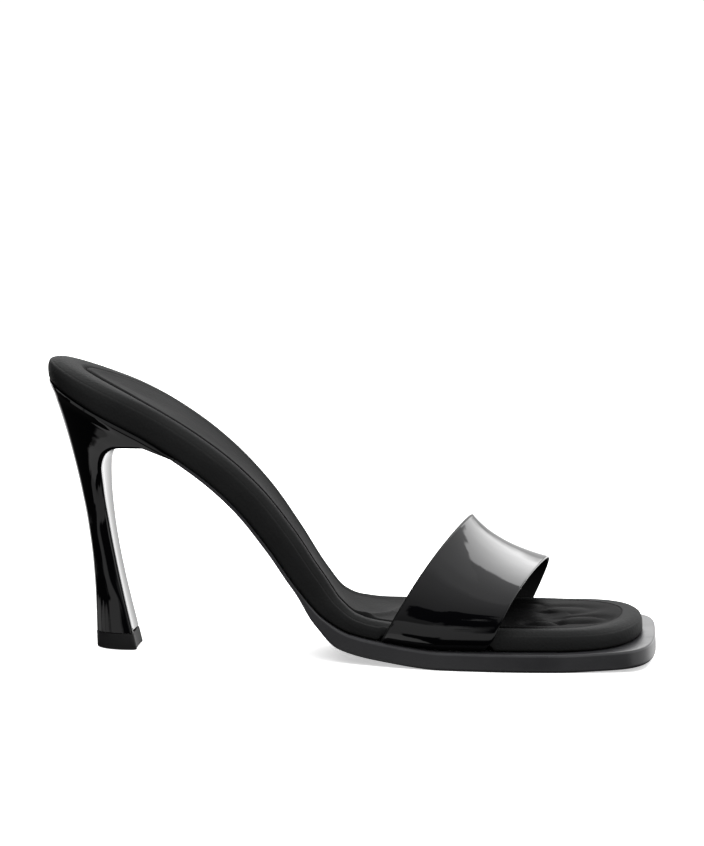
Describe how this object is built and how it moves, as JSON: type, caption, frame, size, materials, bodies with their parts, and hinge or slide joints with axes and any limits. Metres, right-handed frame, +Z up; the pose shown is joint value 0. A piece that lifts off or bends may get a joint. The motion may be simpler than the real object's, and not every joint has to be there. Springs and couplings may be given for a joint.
{
  "type": "high-heeled mule",
  "caption": "Right-foot mule: platform footbed and sock over a sole, tall tapering block heel, and one wide patent band over the toes.",
  "frame": {"origin": "on the floor, at the middle of the part's box in plan", "axes": "+X towards the toe, +Y towards the medial (inner) side, +Z up"},
  "size_m": [0.224, 0.0842, 0.1079],
  "materials": {
    "outsole": "satin",
    "leather": "soft matte",
    "sock_satin": "satin",
    "heel_patent": "high gloss",
    "top_piece": "matte",
    "strap_patent": "patent, high gloss"
  },
  "bodies": {
    "root": {"outsole": "outsole", "footbed": "leather", "sock": "sock_satin", "heel": "heel_patent", "top_piece": "top_piece", "strap": "strap_patent"}
  },
  "joints": []
}
